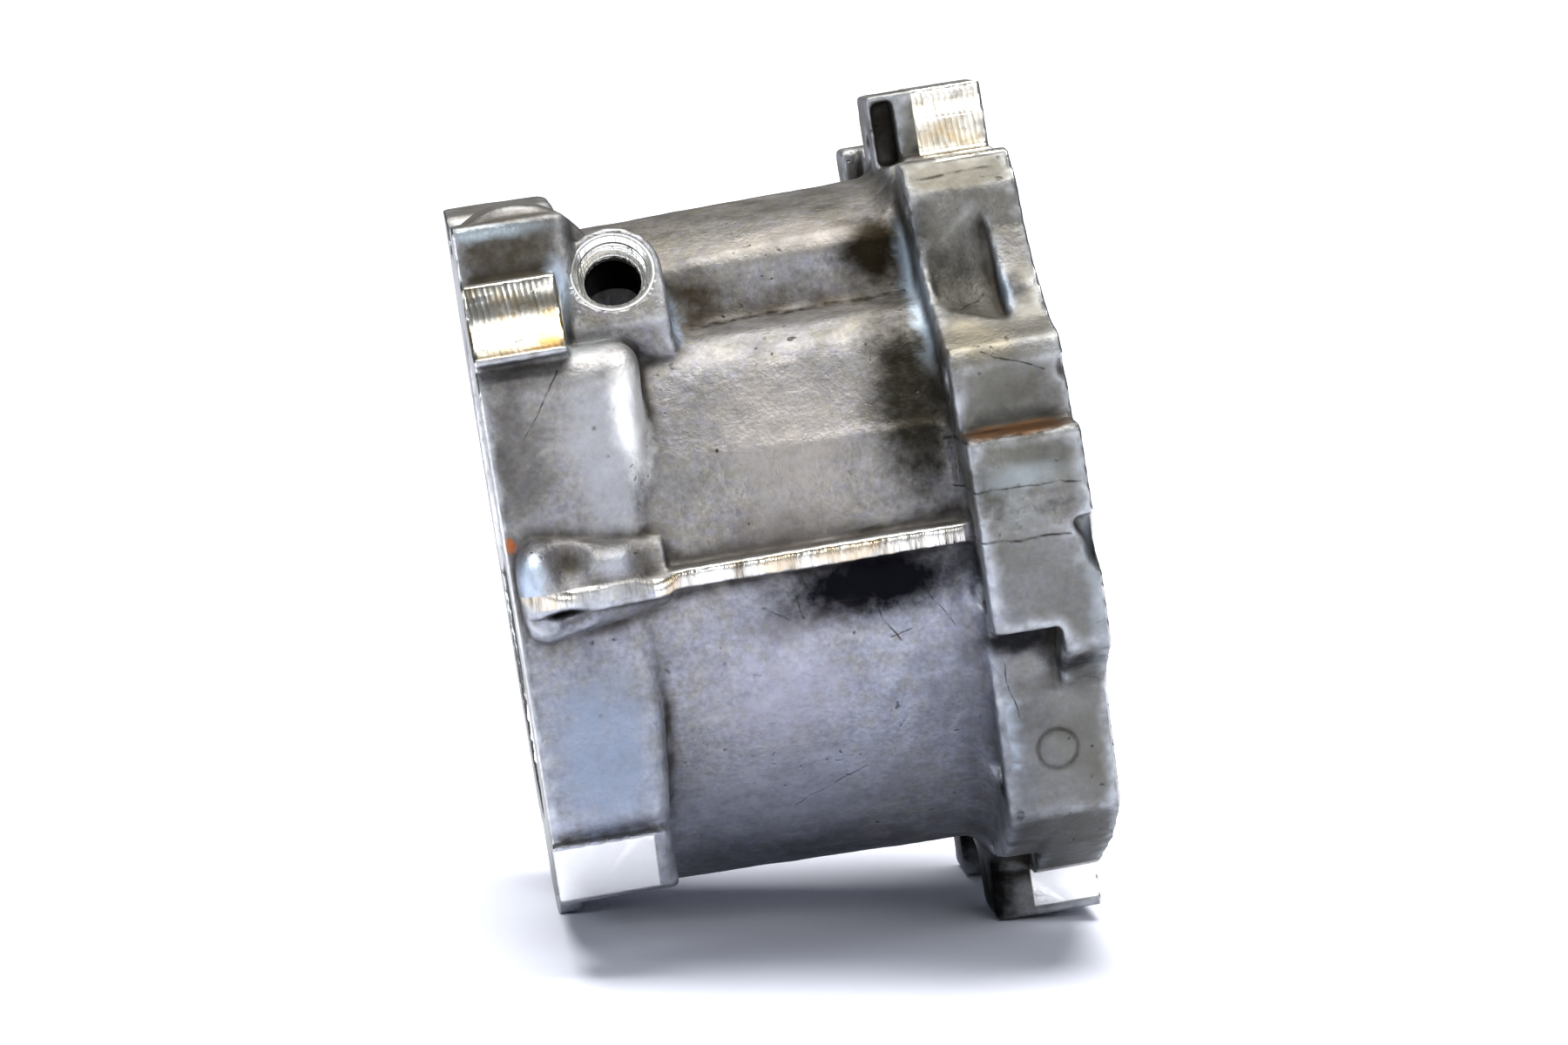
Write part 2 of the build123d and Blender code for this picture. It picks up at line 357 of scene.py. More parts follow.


# Brown and black patches: oil and burnt dirt, and painted shade in the recesses by the
# port's boss and the flange, along the crease, under the ridge and the boss, on the
# underside and towards the left end of the collar.
for centre, reach, tint, amount in (
    ((56, -50, 66), (10, 18, 13), (0.030, 0.022, 0.012), 0.90),
    ((101, -50, 70), (17, 28, 18), (0.012, 0.009, 0.005), 0.98),
    ((80, -50, 61), (38, 12, 6), (0.050, 0.038, 0.026), 0.75),
    ((13, -58, 84), (22, 26, 12), (0.052, 0.044, 0.030), 0.85),
    ((101, -74, 34), (15, 34, 38), (0.016, 0.014, 0.010), 0.93),
    ((64, -84, 8), (24, 16, 9), (0.110, 0.095, 0.085), 0.55),
    ((66, -86, -13), (22, 12, 6), (0.120, 0.112, 0.120), 0.60),
    ((7, -84, 38), (9, 18, 30), (0.085, 0.080, 0.074), 0.70),
    ((117, -74, 63), (11, 26, 20), (0.030, 0.028, 0.024), 0.80),
    ((118, -98, 26), (22, 14, 6), (0.060, 0.064, 0.060), 0.60),
    ((20, -93, -12), (24, 12, 8), (0.090, 0.090, 0.094), 0.60),
    ((112, -85, -64), (7, 40, 36), (0.110, 0.115, 0.125), 0.50),
    ((60, -50, -76), (60, 70, 12), (0.090, 0.095, 0.115), 0.55),
    ((100, -84, -45), (14, 30, 40), (0.110, 0.115, 0.140), 0.55),
    ((112, -100, 14), (8, 24, 9), (0.070, 0.068, 0.060), 0.60),
    ((127, -100, 19), (9, 24, 4), (0.070, 0.070, 0.062), 0.55),
    ((117, -90, -46), (9, 24, 12), (0.075, 0.078, 0.080), 0.50),
    ((128, -88, 34), (9, 24, 5), (0.070, 0.066, 0.052), 0.55),
    ((122, -66, 82), (12, 26, 6), (0.080, 0.070, 0.048), 0.50),
    ((90, -30, 82), (34, 26, 7), (0.085, 0.078, 0.062), 0.50),
):
    lay_stain_or_painted_light(centre, reach, tint, amount, SOFT_EDGE, FAR_DRIFT)

# Darker ones with a crisper edge: painted shadow under the ridge, under the steps of the
# flange and on the walls of the spot-faces behind it, painted shade in slits, notches and
# the pocket by the top ear, and a pinkish brown hollow in the boss and a rusty line on the
# flange.
for centre, reach, tint, amount in (
    ((84, -88, -6.5), (34, 16, 12.5), (0.003, 0.003, 0.005), 0.98),
    ((108, -88, -4), (5, 12, 10), (0.030, 0.030, 0.034), 0.80),
    ((105.5, -36, 97), (6.2, 34, 12), (0.014, 0.010, 0.006), 0.95),
    ((111.5, -30, 97), (4.0, 24, 14), (0.008, 0.006, 0.003), 0.97),
    ((126, -74, 57), (10, 14, 6), (0.022, 0.022, 0.024), 0.85),
    ((121, -98, 25.5), (20, 12, 1.8), (0.110, 0.055, 0.025), 0.85),
    ((116, -96, -25), (13, 40, 5.5), (0.012, 0.012, 0.014), 0.95),
    ((128, -96, -31), (10, 40, 3), (0.030, 0.030, 0.032), 0.75),
    ((120, -66, -87), (6, 24, 6), (0.010, 0.009, 0.008), 0.92),
    ((109.5, -20, -98), (7.5, 60, 14), (0.008, 0.008, 0.008), 0.96),
    ((109, 50, -92), (9, 36, 16), (0.012, 0.012, 0.012), 0.92),
    ((14.5, -93, 14.5), (7, 9, 5), (0.110, 0.080, 0.076), 0.85),
    ((24, -93, 16.5), (13, 9, 2.4), (0.060, 0.050, 0.042), 0.75),
    ((12, -92, -1.0), (6.8, 12, 1.7), (0.003, 0.003, 0.004), 0.98),
    ((135, -102, -2.5), (3.2, 10, 7.5), (0.004, 0.004, 0.004), 0.97),
    ((106.8, -49.0, 77.0), (1.4, 7.0, 4.8), (0.004, 0.004, 0.004), 0.97),
    ((106.8, -81.9, 39.0), (1.4, 7.0, 4.6), (0.004, 0.004, 0.004), 0.97),
    ((107.0, -89.0, 16.0), (1.1, 7.0, 3.2), (0.004, 0.004, 0.004), 0.95),
    ((107.5, -89.1, -12.3), (1.4, 7.0, 4.8), (0.004, 0.004, 0.004), 0.97),
    ((108.9, -70.0, -61.0), (1.4, 9.0, 5.0), (0.004, 0.004, 0.004), 0.97),
    ((1.8, -86, 10), (1.6, 14, 60), (0.060, 0.055, 0.050), 0.60),
):
    lay_stain_or_painted_light(centre, reach, tint, amount, CRISP_EDGE, NEAR_DRIFT)

# Painted highlights, bluish white, on the edges and parts that stand out, and on the lit
# floors of the spot-faces behind the flange.
for centre, reach, tint, amount in (
    ((35.0, -82, 41), (6.4, 16, 21), (1.0, 1.0, 1.0), 0.96),
    ((27, -74, 59.5), (17, 18, 3.6), (0.34, 0.36, 0.37), 0.60),
    ((23.5, -56, 70), (3.4, 16, 14), (0.50, 0.60, 0.74), 0.75),
    ((49, -53, 62), (3.4, 14, 12), (0.50, 0.60, 0.74), 0.70),
    ((5, -94, 9), (5.5, 10, 9), (0.42, 0.50, 0.62), 0.75),
    ((26, -94, 9), (7, 10, 5), (0.34, 0.36, 0.42), 0.60),
    ((31.5, -80, -58), (4.0, 18, 15), (0.46, 0.56, 0.70), 0.70),
    ((126.8, -78, 63), (2.9, 18, 15), (0.50, 0.60, 0.72), 0.90),
    ((107.5, -60, 60), (2.4, 40, 25), (0.42, 0.50, 0.58), 0.70),
    ((108.4, -49.0, 76.0), (0.9, 8.0, 4.4), (0.80, 0.84, 0.88), 0.90),
    ((108.6, -82.0, 38.0), (0.8, 8.0, 5.0), (0.70, 0.74, 0.78), 0.85),
    ((109.0, -89.1, -13.5), (0.8, 8.0, 4.8), (0.80, 0.84, 0.88), 0.85),
    ((110.3, -68.0, -59.5), (0.9, 9.0, 4.6), (1.0, 1.0, 1.0), 0.95),
    ((115.5, -34, 97), (2.8, 26, 13), (0.50, 0.58, 0.66), 0.80),
    ((4, -60, 88), (24, 26, 2.4), (0.40, 0.47, 0.52), 0.70),
    ((24, -60, 73), (4, 20, 8), (0.40, 0.46, 0.54), 0.45),
    ((121, -103, 15), (13, 9, 5), (0.26, 0.29, 0.30), 0.75),
    ((112, -90, -52), (1.8, 20, 24), (0.46, 0.54, 0.62), 0.60),
    ((133.5, -99, -20), (2.5, 16, 60), (0.24, 0.27, 0.29), 0.50),
):
    lay_stain_or_painted_light(centre, reach, tint, amount, SOFT_EDGE, NEAR_DRIFT)

# Broad patches of painted light and shade: the collar and the lower barrel paler and
# bluer, and parts of the flange and the top recess browner.
for centre, reach, tint, amount in (
    ((15, -84, -36), (18, 18, 28), (0.22, 0.265, 0.35), 0.75),
    ((26, -84, 36), (10, 18, 30), (0.34, 0.35, 0.37), 0.65),
    ((60, -84, -34), (24, 22, 22), (0.34, 0.34, 0.42), 0.50),
    ((70, -80, 30), (22, 34, 26), (0.34, 0.315, 0.295), 0.55),
    ((116, -88, 47), (13, 18, 9), (0.200, 0.180, 0.135), 0.70),
    ((118, -100, 6), (14, 12, 7), (0.240, 0.250, 0.245), 0.65),
    ((60, -72, -58), (46, 50, 20), (0.34, 0.355, 0.42), 0.50),
    ((80, -40, 74), (22, 26, 7), (0.21, 0.19, 0.165), 0.60),
):
    lay_stain_or_painted_light(centre, reach, tint, amount, SOFT_EDGE, FAR_DRIFT)
stains_and_painted_light[:, :3] /= np.maximum(stains_and_painted_light[:, 3:], 0.001)
stain_and_light_layer = housing.data.attributes.new("stains_and_painted_light", "FLOAT_COLOR", "POINT")
stain_and_light_layer.data.foreach_set("color", stains_and_painted_light.ravel())

# How the surface was worked at each point: red where a pad was milled, green where flash was
# sheared off, and blue where any tool has been.
worked = np.zeros((len(spots), 4))
worked[:, 0] = np.maximum.reduce([
    inside(spots, (-1, -85, 60), (23.2, -60, 76.6), 0.6),
    inside(spots, (-1, 60, 60), (23.2, 85, 76.6), 0.6),
    inside(spots, (118.3, -47, 87.3), (137, 47, 105.4), 0.6),
])
worked[:, 1] = np.maximum.reduce([
    inside(spots, (33, -95, -0.4), (107, -89.7, 6.2), 0.5),
    inside(spots, (33, 89.7, -0.4), (107, 95, 6.2), 0.5),
    inside(spots, (1.5, -98, 0.8), (37, -90.6, 5.0), 0.5),
])
worked[:, 2] = np.maximum.reduce([worked[:, 0], worked[:, 1], machined[nearest]])
worked_layer = housing.data.attributes.new("worked", "FLOAT_COLOR", "POINT")
worked_layer.data.foreach_set("color", worked.ravel())
housing.data.polygons.foreach_set("use_smooth", [True] * len(housing.data.polygons))
housing.vertex_groups.clear()

# The port is spot-faced, chamfered and tapped M18 x 1.5, with a flat seat at the foot of the
# thread and a narrower hole from there on. Its wall and its thread are laid into the opened
# bore. Each ring of the wall is a radius and a depth below the mouth, in millimetres.
WALL_RINGS = ((10.1, -0.04), (9.35, -0.04), (8.35, 1.0), (8.35, 1.3), (9.72, 1.4),
              (9.72, 5.6), (7.1, 5.6), (6.9, 5.8), (6.9, 10.0))
THREAD_PITCH = 1.5
THREAD_TURNS = 3
THREAD_RADIUS = 8.2
THREAD_START = 1.05
THREAD_PROFILE = ((0, 0.19), (0.78, 0.45), (0, 0.2), (-0.78, 0.45), (0, 0.21))
wide, near = WALL_RINGS[0]
bpy.ops.object.select_all(action="DESELECT")
bpy.ops.mesh.primitive_circle_add(vertices=96, radius=wide / 1000, location=(0, 0, -near / 1000))
lining = bpy.context.object
lining.name = "port_lining"
bpy.ops.object.transform_apply(location=True)
bpy.ops.object.mode_set(mode="EDIT")
bpy.ops.mesh.select_all(action="SELECT")
for (wide, near), (narrow, deep_end) in zip(WALL_RINGS, WALL_RINGS[1:]):
    bpy.ops.mesh.extrude_edges_move(
        TRANSFORM_OT_translate={"value": (0, 0, (near - deep_end) / 1000)})
    bpy.ops.transform.resize(value=(narrow / wide, narrow / wide, 1))
bpy.ops.mesh.select_all(action="SELECT")
bpy.ops.mesh.normals_make_consistent(inside=True)
bpy.ops.object.mode_set(mode="OBJECT")
bpy.ops.object.shade_smooth_by_angle(angle=math.radians(30))

bpy.ops.object.select_all(action="DESELECT")
bpy.ops.mesh.primitive_plane_add(size=0.001, location=(0, 0, 0))
thread = bpy.context.object
thread.name = "port_thread"
bpy.ops.object.mode_set(mode="EDIT")
bpy.ops.mesh.select_all(action="SELECT")
bpy.ops.mesh.merge(type="CENTER")
bpy.ops.transform.translate(value=(THREAD_RADIUS / 1000, 0, -THREAD_START / 1000))
for out_by, down_by in THREAD_PROFILE:
    bpy.ops.mesh.extrude_vertices_move(
        TRANSFORM_OT_translate={"value": (out_by / 1000, 0, -down_by / 1000)})
bpy.ops.object.mode_set(mode="OBJECT")
turn = thread.modifiers.new("turn", "SCREW")
turn.angle = 2 * math.pi
turn.screw_offset = -THREAD_PITCH / 1000
turn.iterations = THREAD_TURNS
turn.steps = 72
turn.render_steps = 72
turn.use_merge_vertices = False
bpy.ops.object.modifier_apply(modifier=turn.name)
bpy.ops.object.mode_set(mode="EDIT")
bpy.ops.mesh.select_all(action="SELECT")
bpy.ops.mesh.remove_doubles(threshold=0.000002)
bpy.ops.mesh.normals_make_consistent(inside=True)
bpy.ops.object.mode_set(mode="OBJECT")
bpy.ops.object.shade_smooth_by_angle(angle=math.radians(30))
port_frame = Vector(PORT_OUT @ AXES).to_track_quat("Z", "Y").to_matrix().to_4x4()
port_frame.translation = Vector(PORT_MOUTH / 1000 @ AXES + FOOT_OF_AXIS)
for turned_piece in (lining, thread):
    turned_piece.matrix_world = port_frame
    turned_piece.select_set(True)
bpy.ops.object.transform_apply(location=True, rotation=True, scale=True)
housing.select_set(True)
bpy.context.view_layer.objects.active = housing
bpy.ops.object.join()

# The waves of the skin end where the pattern maker's size ends.
flat = np.empty(len(housing.data.vertices) * 3)
housing.data.vertices.foreach_get("co", flat)
held = np.clip(flat.reshape(-1, 3), np.array(cad_box[0]), np.array(cad_box[1]))
housing.data.vertices.foreach_set("co", held.ravel())
housing.data.update()

# The cast skin is dull and mottled grey, with dirt and painted shade in its corners and
# patches of painted light and shade. Cut metal is bright, with the marks of the cutter in it
# and an oily gold tint.
cast = bpy.data.materials.new("cast_aluminium")
cast.use_nodes = True
shader = cast.node_tree.nodes["Principled BSDF"]


def place(tree, kind, feeds=None, **settings):
    made = tree.nodes.new(kind)
    for name, value in settings.items():
        setattr(made, name, value)
    for socket, feed in (feeds or {}).items():
        if isinstance(feed, bpy.types.NodeSocket):
            tree.links.new(feed, made.inputs[socket])
        else:
            made.inputs[socket].default_value = feed
    return made


def number_math(tree, operation, first, second, clamp=False):
    return place(tree, "ShaderNodeMath", {0: first, 1: second}, operation=operation,
                 use_clamp=clamp).outputs[0]


def vector_math(tree, operation, first, second):
    return place(tree, "ShaderNodeVectorMath", {0: first, 1: second}, operation=operation)


def group_with(name, sockets, outlet):
    group = bpy.data.node_groups.new(name, "ShaderNodeTree")
    for label, kind, value in sockets:
        socket = group.interface.new_socket(label, in_out="INPUT", socket_type=kind)
        socket.default_value = value
    group.interface.new_socket(outlet, in_out="OUTPUT", socket_type="NodeSocketFloat")
    return group, group.nodes.new("NodeGroupInput"), group.nodes.new("NodeGroupOutput")


# A blot is a soft round patch, a field a soft-edged box, and a hairline a thin line.
blot, into, out = group_with("blot", (
    ("Point", "NodeSocketVector", (0, 0, 0)), ("Centre", "NodeSocketVector", (0, 0, 0)),
    ("Reach", "NodeSocketVector", (1, 1, 1)), ("Fade", "NodeSocketFloat", 0.6)), "Mask")
away = vector_math(blot, "SUBTRACT", into.outputs["Point"], into.outputs["Centre"])
away = vector_math(blot, "DIVIDE", away.outputs[0], into.outputs["Reach"])
away = place(blot, "ShaderNodeVectorMath", {0: away.outputs[0]}, operation="LENGTH")
core = number_math(blot, "SUBTRACT", 1.0, into.outputs["Fade"])
fall = place(blot, "ShaderNodeMapRange", {
    "Value": away.outputs["Value"], "From Min": 1.0, "From Max": core},
    interpolation_type="SMOOTHSTEP")
blot.links.new(fall.outputs["Result"], out.inputs["Mask"])

field, into, out = group_with("field", (
    ("Point", "NodeSocketVector", (0, 0, 0)), ("Low", "NodeSocketVector", (0, 0, 0)),
    ("High", "NodeSocketVector", (1, 1, 1)), ("Fade", "NodeSocketFloat", 0.5)), "Mask")
above = vector_math(field, "SUBTRACT", into.outputs["Point"], into.outputs["Low"])
below = vector_math(field, "SUBTRACT", into.outputs["High"], into.outputs["Point"])
least = vector_math(field, "MINIMUM", above.outputs[0], below.outputs[0])
parts = place(field, "ShaderNodeSeparateXYZ", {0: least.outputs[0]})
least = number_math(field, "MINIMUM", parts.outputs[0], parts.outputs[1])
least = number_math(field, "MINIMUM", least, parts.outputs[2])
least = number_math(field, "DIVIDE", least, into.outputs["Fade"], clamp=True)
field.links.new(least, out.inputs["Mask"])

hairline, into, out = group_with("hairline", (
    ("Point", "NodeSocketVector", (0, 0, 0)), ("Start", "NodeSocketVector", (0, 0, 0)),
    ("End", "NodeSocketVector", (1, 1, 1)), ("Width", "NodeSocketFloat", 0.4)), "Mask")
run = vector_math(hairline, "SUBTRACT", into.outputs["End"], into.outputs["Start"]).outputs[0]
arm = vector_math(hairline, "SUBTRACT", into.outputs["Point"], into.outputs["Start"]).outputs[0]
along = vector_math(hairline, "DOT_PRODUCT", arm, run)
whole = vector_math(hairline, "DOT_PRODUCT", run, run)
share = number_math(hairline, "DIVIDE", along.outputs["Value"], whole.outputs["Value"], clamp=True)
foot = place(hairline, "ShaderNodeVectorMath", {0: run, "Scale": share}, operation="SCALE")
off = vector_math(hairline, "DISTANCE", arm, foot.outputs[0])
fall = place(hairline, "ShaderNodeMapRange", {
    "Value": off.outputs["Value"], "From Min": into.outputs["Width"], "From Max": 0.0},
    interpolation_type="SMOOTHSTEP")
hairline.links.new(fall.outputs["Result"], out.inputs["Mask"])

tree = cast.node_tree
coordinates = place(tree, "ShaderNodeTexCoord")
own = place(tree, "ShaderNodeMapping", {
    "Vector": coordinates.outputs["Object"], "Location": tuple(FOOT_OF_AXIS),
    "Rotation": (0, -LEAN, 0), "Scale": (0.001, 0.001, 0.001)},
    vector_type="TEXTURE").outputs["Vector"]
parts = place(tree, "ShaderNodeSeparateXYZ", {0: own})
own_x, own_y, own_z = parts.outputs[0], parts.outputs[1], parts.outputs[2]


def grainy(scale, detail=2.0, stretch=(1, 1, 1), roughness=0.5, colour=False):
    feed = own
    if stretch != (1, 1, 1):
        feed = vector_math(tree, "MULTIPLY", own, stretch).outputs[0]
    made = place(tree, "ShaderNodeTexNoise", {
        "Vector": feed, "Scale": scale, "Detail": detail, "Roughness": roughness})
    return made.outputs["Color" if colour else "Fac"]


def spread(value, low, high, to_low=0.0, to_high=1.0):
    return place(tree, "ShaderNodeMapRange", {
        "Value": value, "From Min": low, "From Max": high,
        "To Min": to_low, "To Max": to_high}).outputs[0]


def times(first, second):
    return number_math(tree, "MULTIPLY", first, second)


def plus(first, second, clamp=False):
    return number_math(tree, "ADD", first, second, clamp)


def more(first, second):
    return number_math(tree, "MAXIMUM", first, second)


def over(below, colour, mask):
    below, colour = [feed if isinstance(feed, bpy.types.NodeSocket) else (*feed, 1)
                     for feed in (below, colour)]
    return place(tree, "ShaderNodeMix", {"Factor": mask, 6: below, 7: colour},
                 data_type="RGBA").outputs[2]


# Loose and slight points are the piece's own points pushed about, so that patches have
# ragged edges and lines waver.
wander = grainy(0.16, 2.0, colour=True)
wander = vector_math(tree, "SUBTRACT", wander, (0.5, 0.5, 0.5)).outputs[0]
loose = place(tree, "ShaderNodeVectorMath", {0: wander, 1: (9, 9, 9), 2: own},
              operation="MULTIPLY_ADD").outputs[0]
slight = place(tree, "ShaderNodeVectorMath", {0: wander, 1: (2.2, 2.2, 2.2), 2: own},
               operation="MULTIPLY_ADD").outputs[0]
flat_on = vector_math(tree, "MULTIPLY", slight, (1, 0, 1)).outputs[0]


def blotted(centre, reach, fade=0.7, point=loose):
    return place(tree, "ShaderNodeGroup", {
        "Point": point, "Centre": centre, "Reach": reach, "Fade": fade},
        node_tree=blot).outputs["Mask"]


def boxed(low, high, fade=0.4):
    return place(tree, "ShaderNodeGroup", {
        "Point": own, "Low": low, "High": high, "Fade": fade},
        node_tree=field).outputs["Mask"]


def lined(start, end, width=0.45):
    return place(tree, "ShaderNodeGroup", {
        "Point": flat_on, "Start": (start[0], 0, start[1]), "End": (end[0], 0, end[1]),
        "Width": width}, node_tree=hairline).outputs["Mask"]


# The skin: slow drifts from warm to bluish grey, paler and bluer towards the bottom as a
# painted reflection of the lit floor, cloudy mottling and a fine sandy grain.
WARM_GREY = (0.235, 0.222, 0.204)
BLUE_GREY = (0.255, 0.270, 0.325)
YELLOW_TINGE = (0.215, 0.200, 0.150)
BLUE_TINGE = (0.200, 0.195, 0.270)
PALE_STREAK = (0.36, 0.37, 0.40)
RIM_GREY = (0.112, 0.110, 0.094)
drift = spread(grainy(0.022, 2.0), 0.35, 0.65)
lower_side_reflection = spread(own_z, 8.0, -12.0)
drift = plus(times(drift, 0.5), times(lower_side_reflection, 0.6), clamp=True)
colour = over(WARM_GREY, BLUE_GREY, drift)
cloudy = spread(grainy(0.11, 4.0, roughness=0.62), 0.32, 0.68, 0.78, 1.18)
speckle = spread(grainy(0.75, 3.0, roughness=0.6), 0.3, 0.7, 0.78, 1.20)
tinge = spread(grainy(0.26, 3.0, roughness=0.6), 0.42, 0.62)
colour = over(colour, YELLOW_TINGE, times(tinge, 0.40))
tinge = spread(grainy(0.31, 3.0, (1.1, 0.9, 1.2), roughness=0.6), 0.5, 0.68)
colour = over(colour, BLUE_TINGE, times(tinge, 0.45))
shade = times(cloudy, speckle)
colour = place(tree, "ShaderNodeVectorMath", {0: colour, "Scale": shade},
               operation="SCALE").outputs[0]
streaks = spread(grainy(0.5, 2.0, (0.12, 1, 0.9)), 0.52, 0.72)
colour = over(colour, PALE_STREAK, times(streaks, 0.22))
# The large flange is darker all over, in cloudy patches.
rim = boxed((108.5, -110, -110), (140, 110, 112), 3.0)
flange_darkening = times(rim, spread(grainy(0.05, 3.0), 0.3, 0.7, 0.45, 0.95))
colour = over(colour, RIM_GREY, flange_darkening)

# Corners and creases are darkened with dirt and painted shade, proud edges are lighter,
# rubbed bright and with a painted highlight, and what faces up is darkened with painted
# shade against the light from above.
CORNER_SHADE_AND_DIRT = (0.026, 0.021, 0.015)
RUBBED_EDGE_AND_HIGHLIGHT = (0.70, 0.74, 0.80)
UP_FACING_SHADE = (0.085, 0.076, 0.058)
depth = place(tree, "ShaderNodeAttribute", attribute_name="hollow").outputs["Fac"]
deep = times(spread(depth, 0.06, 0.50), spread(grainy(0.09, 3.0), 0.3, 0.6, 0.45, 1.0))
colour = over(colour, CORNER_SHADE_AND_DIRT, times(deep, 0.90))
proud = times(spread(depth, -0.10, -0.55), spread(grainy(0.22, 3.0), 0.35, 0.65, 0.25, 1.0))
colour = over(colour, RUBBED_EDGE_AND_HIGHLIGHT, times(proud, 0.45))
facing = place(tree, "ShaderNodeSeparateXYZ", {0: coordinates.outputs["Normal"]}).outputs[2]
up_facing_shade = spread(facing, 0.15, 0.85)
colour = over(colour, UP_FACING_SHADE, times(up_facing_shade, 0.48))

# The oil and dirt marks and the painted light and shade kept on the mesh, with ragged
# edges.
stained_and_lit = place(tree, "ShaderNodeAttribute", attribute_name="stains_and_painted_light")
cover = stained_and_lit.outputs["Alpha"]
ragged = spread(grainy(0.33, 4.0, roughness=0.62), 0.3, 0.7, -0.9, 0.9)
edge_of_stain_or_light = times(cover, spread(cover, 0.0, 1.0, 1.0, 0.0))
stain_and_light_mask = plus(times(edge_of_stain_or_light, ragged), cover, clamp=True)
colour = over(colour, stained_and_lit.outputs["Color"], spread(stain_and_light_mask, 0.02, 0.95))

# Cracks and scratches, each from one point to another in x and z, then nicks, pits and
# two specks of rust. One line is painted shade in the crease along the top of the barrel.
CRACK_AND_CREASE_SHADE = (0.014, 0.011, 0.009)
PIT = (0.03, 0.027, 0.025)
RUST = (0.36, 0.10, 0.02)
RUST_WASH = (0.30, 0.13, 0.05)
marks = None
for start, end, width in (
    ((111, 84.2), (131, 84.6), 0.65),
    ((106.5, 24.6), (135.5, 25.0), 0.75),
    ((107, 1.6), (130, 0.2), 0.55),
    ((106.5, 13.4), (134, 12.2), 0.45),
    ((19, 55), (14, 47), 0.35),
    ((14, 47), (9, 40), 0.30),
    ((58, -8), (64, -12), 0.35),
    ((66, -7), (67, -12), 0.40),
    ((72, -9), (84, -10), 0.30),
    ((84, -9), (86, -16), 0.40),
    ((86, -16), (91, -23), 0.40),
    ((87, -20), (92, -19), 0.30),
    ((95, -8), (103, -20), 0.25),
    ((117, 44), (131, 38), 0.35),
    ((114.5, 52), (123, 55), 0.40),
    # Painted shade in the crease along the top of the barrel.
    ((52.5, 57.2), (106, 57.6), 0.70),
    ((112, -30), (114, -44), 0.30),
    ((60, -60), (78, -52), 0.22),
):
    line = lined(start, end, width)
    marks = line if marks is None else more(marks, line)
for centre, reach in (
    ((53, -78, 30), 0.6), ((16, -84, -27), 0.8), ((78, -38, 72), 0.7), ((50, -54, 72), 1.3),
    ((111.4, -76, -68.2), 1.8), ((58, -80, 12), 0.5), ((92, -84, -32), 0.5),
    ((30, -84, 10), 0.6), ((124, -90, 46), 0.7), ((127, -90, 49), 0.6), ((120, -92, 50), 0.6),
):
    marks = more(marks, blotted(centre, (reach, 9, reach), 0.5, slight))
near_side = spread(own_y, 0.0, -4.0)
marks = times(times(marks, near_side), spread(grainy(0.35, 2.0), 0.36, 0.6, 0.2, 1.0))
colour = over(colour, CRACK_AND_CREASE_SHADE, times(marks, 0.88))
cells = place(tree, "ShaderNodeTexVoronoi", {"Vector": loose, "Scale": 0.24})
pits = spread(cells.outputs["Distance"], 0.16, 0.05)
pits = times(pits, spread(grainy(0.05, 1.0), 0.5, 0.62))
colour = over(colour, PIT, times(pits, 0.7))
rust = blotted((1.5, -86, 16), (2.2, 9, 2.6), 0.6, slight)
colour = over(colour, RUST, times(rust, 0.8))
scoop_rust = blotted((121, -78, 60), (3, 14, 8), 0.8)
colour = over(colour, RUST_WASH, times(scoop_rust, 0.45))

# Where metal was cut: pads, trimmed ridges, joint faces, port, bores and holes.
upper_pad = boxed((-0.6, -85, 60), (23.2, -59.5, 76.6))
far_pad = boxed((-0.6, 59.5, 60), (23.2, 85, 76.6))
lower_pad = boxed((-0.6, -85, -71.6), (24.4, -68.5, -57.2))
far_low_pad = boxed((-0.6, 68.5, -71.6), (24.4, 85, -57.2))
top_pad = boxed((118.3, -47, 87.3), (137, 47, 105.4))
foot_pad = boxed((118.8, -34, -104.4), (137, 34, -92.6))
near_ridge = boxed((33, -95, -0.4), (107, -89.7, 6.2), 0.3)
far_ridge = boxed((33, 89.7, -0.4), (107, 95, 6.2), 0.3)
boss_trim = times(boxed((1.5, -98, 0.8), (37, -90.6, 5.0), 0.5),
                  spread(grainy(0.085, 1.0), 0.44, 0.52, 0.12, 1.0))
small_face = spread(own_x, 0.75, 0.45)
large_face = spread(own_x, 135.25, 135.55)
port_ring = blotted(tuple(PORT_MOUTH - 2.5 * PORT_OUT), (10.3, 10.3, 10.3), 0.05, own)
port_shade = blotted(tuple(PORT_MOUTH - 17.4 * PORT_OUT), (11.8, 11.8, 11.8), 0.06, own)
from_axis = vector_math(tree, "MULTIPLY", own, (0, 1, 1)).outputs[0]
from_axis = place(tree, "ShaderNodeVectorMath", {0: from_axis},
                  operation="LENGTH").outputs["Value"]
seat = times(spread(from_axis, 32.2, 31.6), spread(own_x, 40.0, 39.0))
recess = times(spread(from_axis, 63.2, 62.6), spread(own_x, 12.9, 12.5))
mouth_ring = times(spread(from_axis, 79.4, 78.8), spread(from_axis, 76.6, 77.2))
mouth = times(mouth_ring, spread(own_x, 131.8, 132.4))
pads = more(more(more(upper_pad, far_pad), more(lower_pad, far_low_pad)),
            more(top_pad, foot_pad))
ridges = more(more(near_ridge, far_ridge), boss_trim)
turned = more(more(more(small_face, large_face), more(seat, recess)), more(mouth, port_ring))
cut = more(more(pads, ridges), turned)

